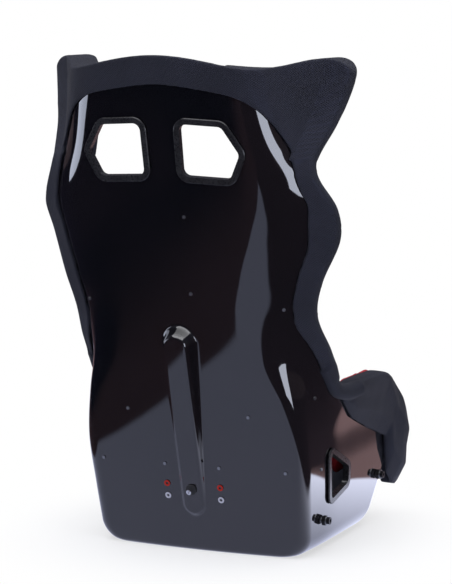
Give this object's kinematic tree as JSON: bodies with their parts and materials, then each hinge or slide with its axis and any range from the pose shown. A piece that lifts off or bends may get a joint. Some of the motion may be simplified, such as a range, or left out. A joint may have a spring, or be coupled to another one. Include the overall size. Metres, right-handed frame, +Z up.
{
  "type": "racing seat",
  "caption": "Fixed-back racing bucket seat: glossy laminate shell with harness slots, padded knit side bolsters, wrap-round head guard, thigh bolsters and lift-off cushions.",
  "frame": {"origin": "middle of the flat base that the shell stands on, on the centre plane", "axes": "X to the sitter's right, +Y the way the sitter faces, +Z up"},
  "size_m": [0.5692, 0.6378, 0.892],
  "materials": {
    "laminate": "deep gloss, lacquered",
    "bezel": "satin",
    "red_insert": "red anodised",
    "silver_insert": "satin",
    "black_rubber": "matt",
    "bright_metal": "polished",
    "zinc": "zinc plated",
    "black_metal": "satin black",
    "mesh_knit": "open three-dimensional knit",
    "red_knit": "brushed knit",
    "hook_tape": "hook pile"
  },
  "bodies": {
    "shell": {"seat_shell": "laminate", "harness_bezel_right": "bezel", "harness_bezel_left": "bezel", "lap_belt_bezel_right": "bezel", "lap_belt_bezel_left": "bezel", "crotch_strap_bezel": "bezel", "back_inserts_upper": "red_insert", "back_inserts_lower": "silver_insert", "valve_grommet": "black_rubber", "lumbar_valve": "bright_metal", "side_mount_nuts": "zinc", "side_mount_spacers": "black_metal", "side_mount_washers": "zinc", "side_mount_bolts": "black_metal", "shell_screws": "zinc", "screw_plate_nuts": "zinc", "wall_rivets": "zinc", "side_bolster_right": "mesh_knit", "side_bolster_left": "mesh_knit", "guard_pad_right": "mesh_knit", "guard_pad_left": "mesh_knit", "head_cover": "mesh_knit", "head_centre_pad": "mesh_knit", "thigh_bolster_right": "mesh_knit", "thigh_bolster_left": "mesh_knit", "knee_pad": "mesh_knit", "hip_pad_right": "red_knit", "hip_pad_left": "red_knit", "back_hook_tapes": "hook_tape", "floor_hook_tapes": "hook_tape"},
    "back_pad": {"back_cushion": "mesh_knit"},
    "lumbar_pad": {"lumbar_cushion": "mesh_knit"},
    "base_pad": {"base_cushion": "mesh_knit"}
  },
  "joints": [
    {"name": "back_cushion_lift", "type": "slide", "parent": "shell", "child": "back_pad", "axis": [0, 1, 0], "range_m": [0, 0.06]},
    {"name": "lumbar_cushion_lift", "type": "slide", "parent": "shell", "child": "lumbar_pad", "axis": [0, 1, 0], "range_m": [0, 0.06]},
    {"name": "base_cushion_lift", "type": "slide", "parent": "shell", "child": "base_pad", "axis": [0, 0, 1], "range_m": [0, 0.06]}
  ]
}
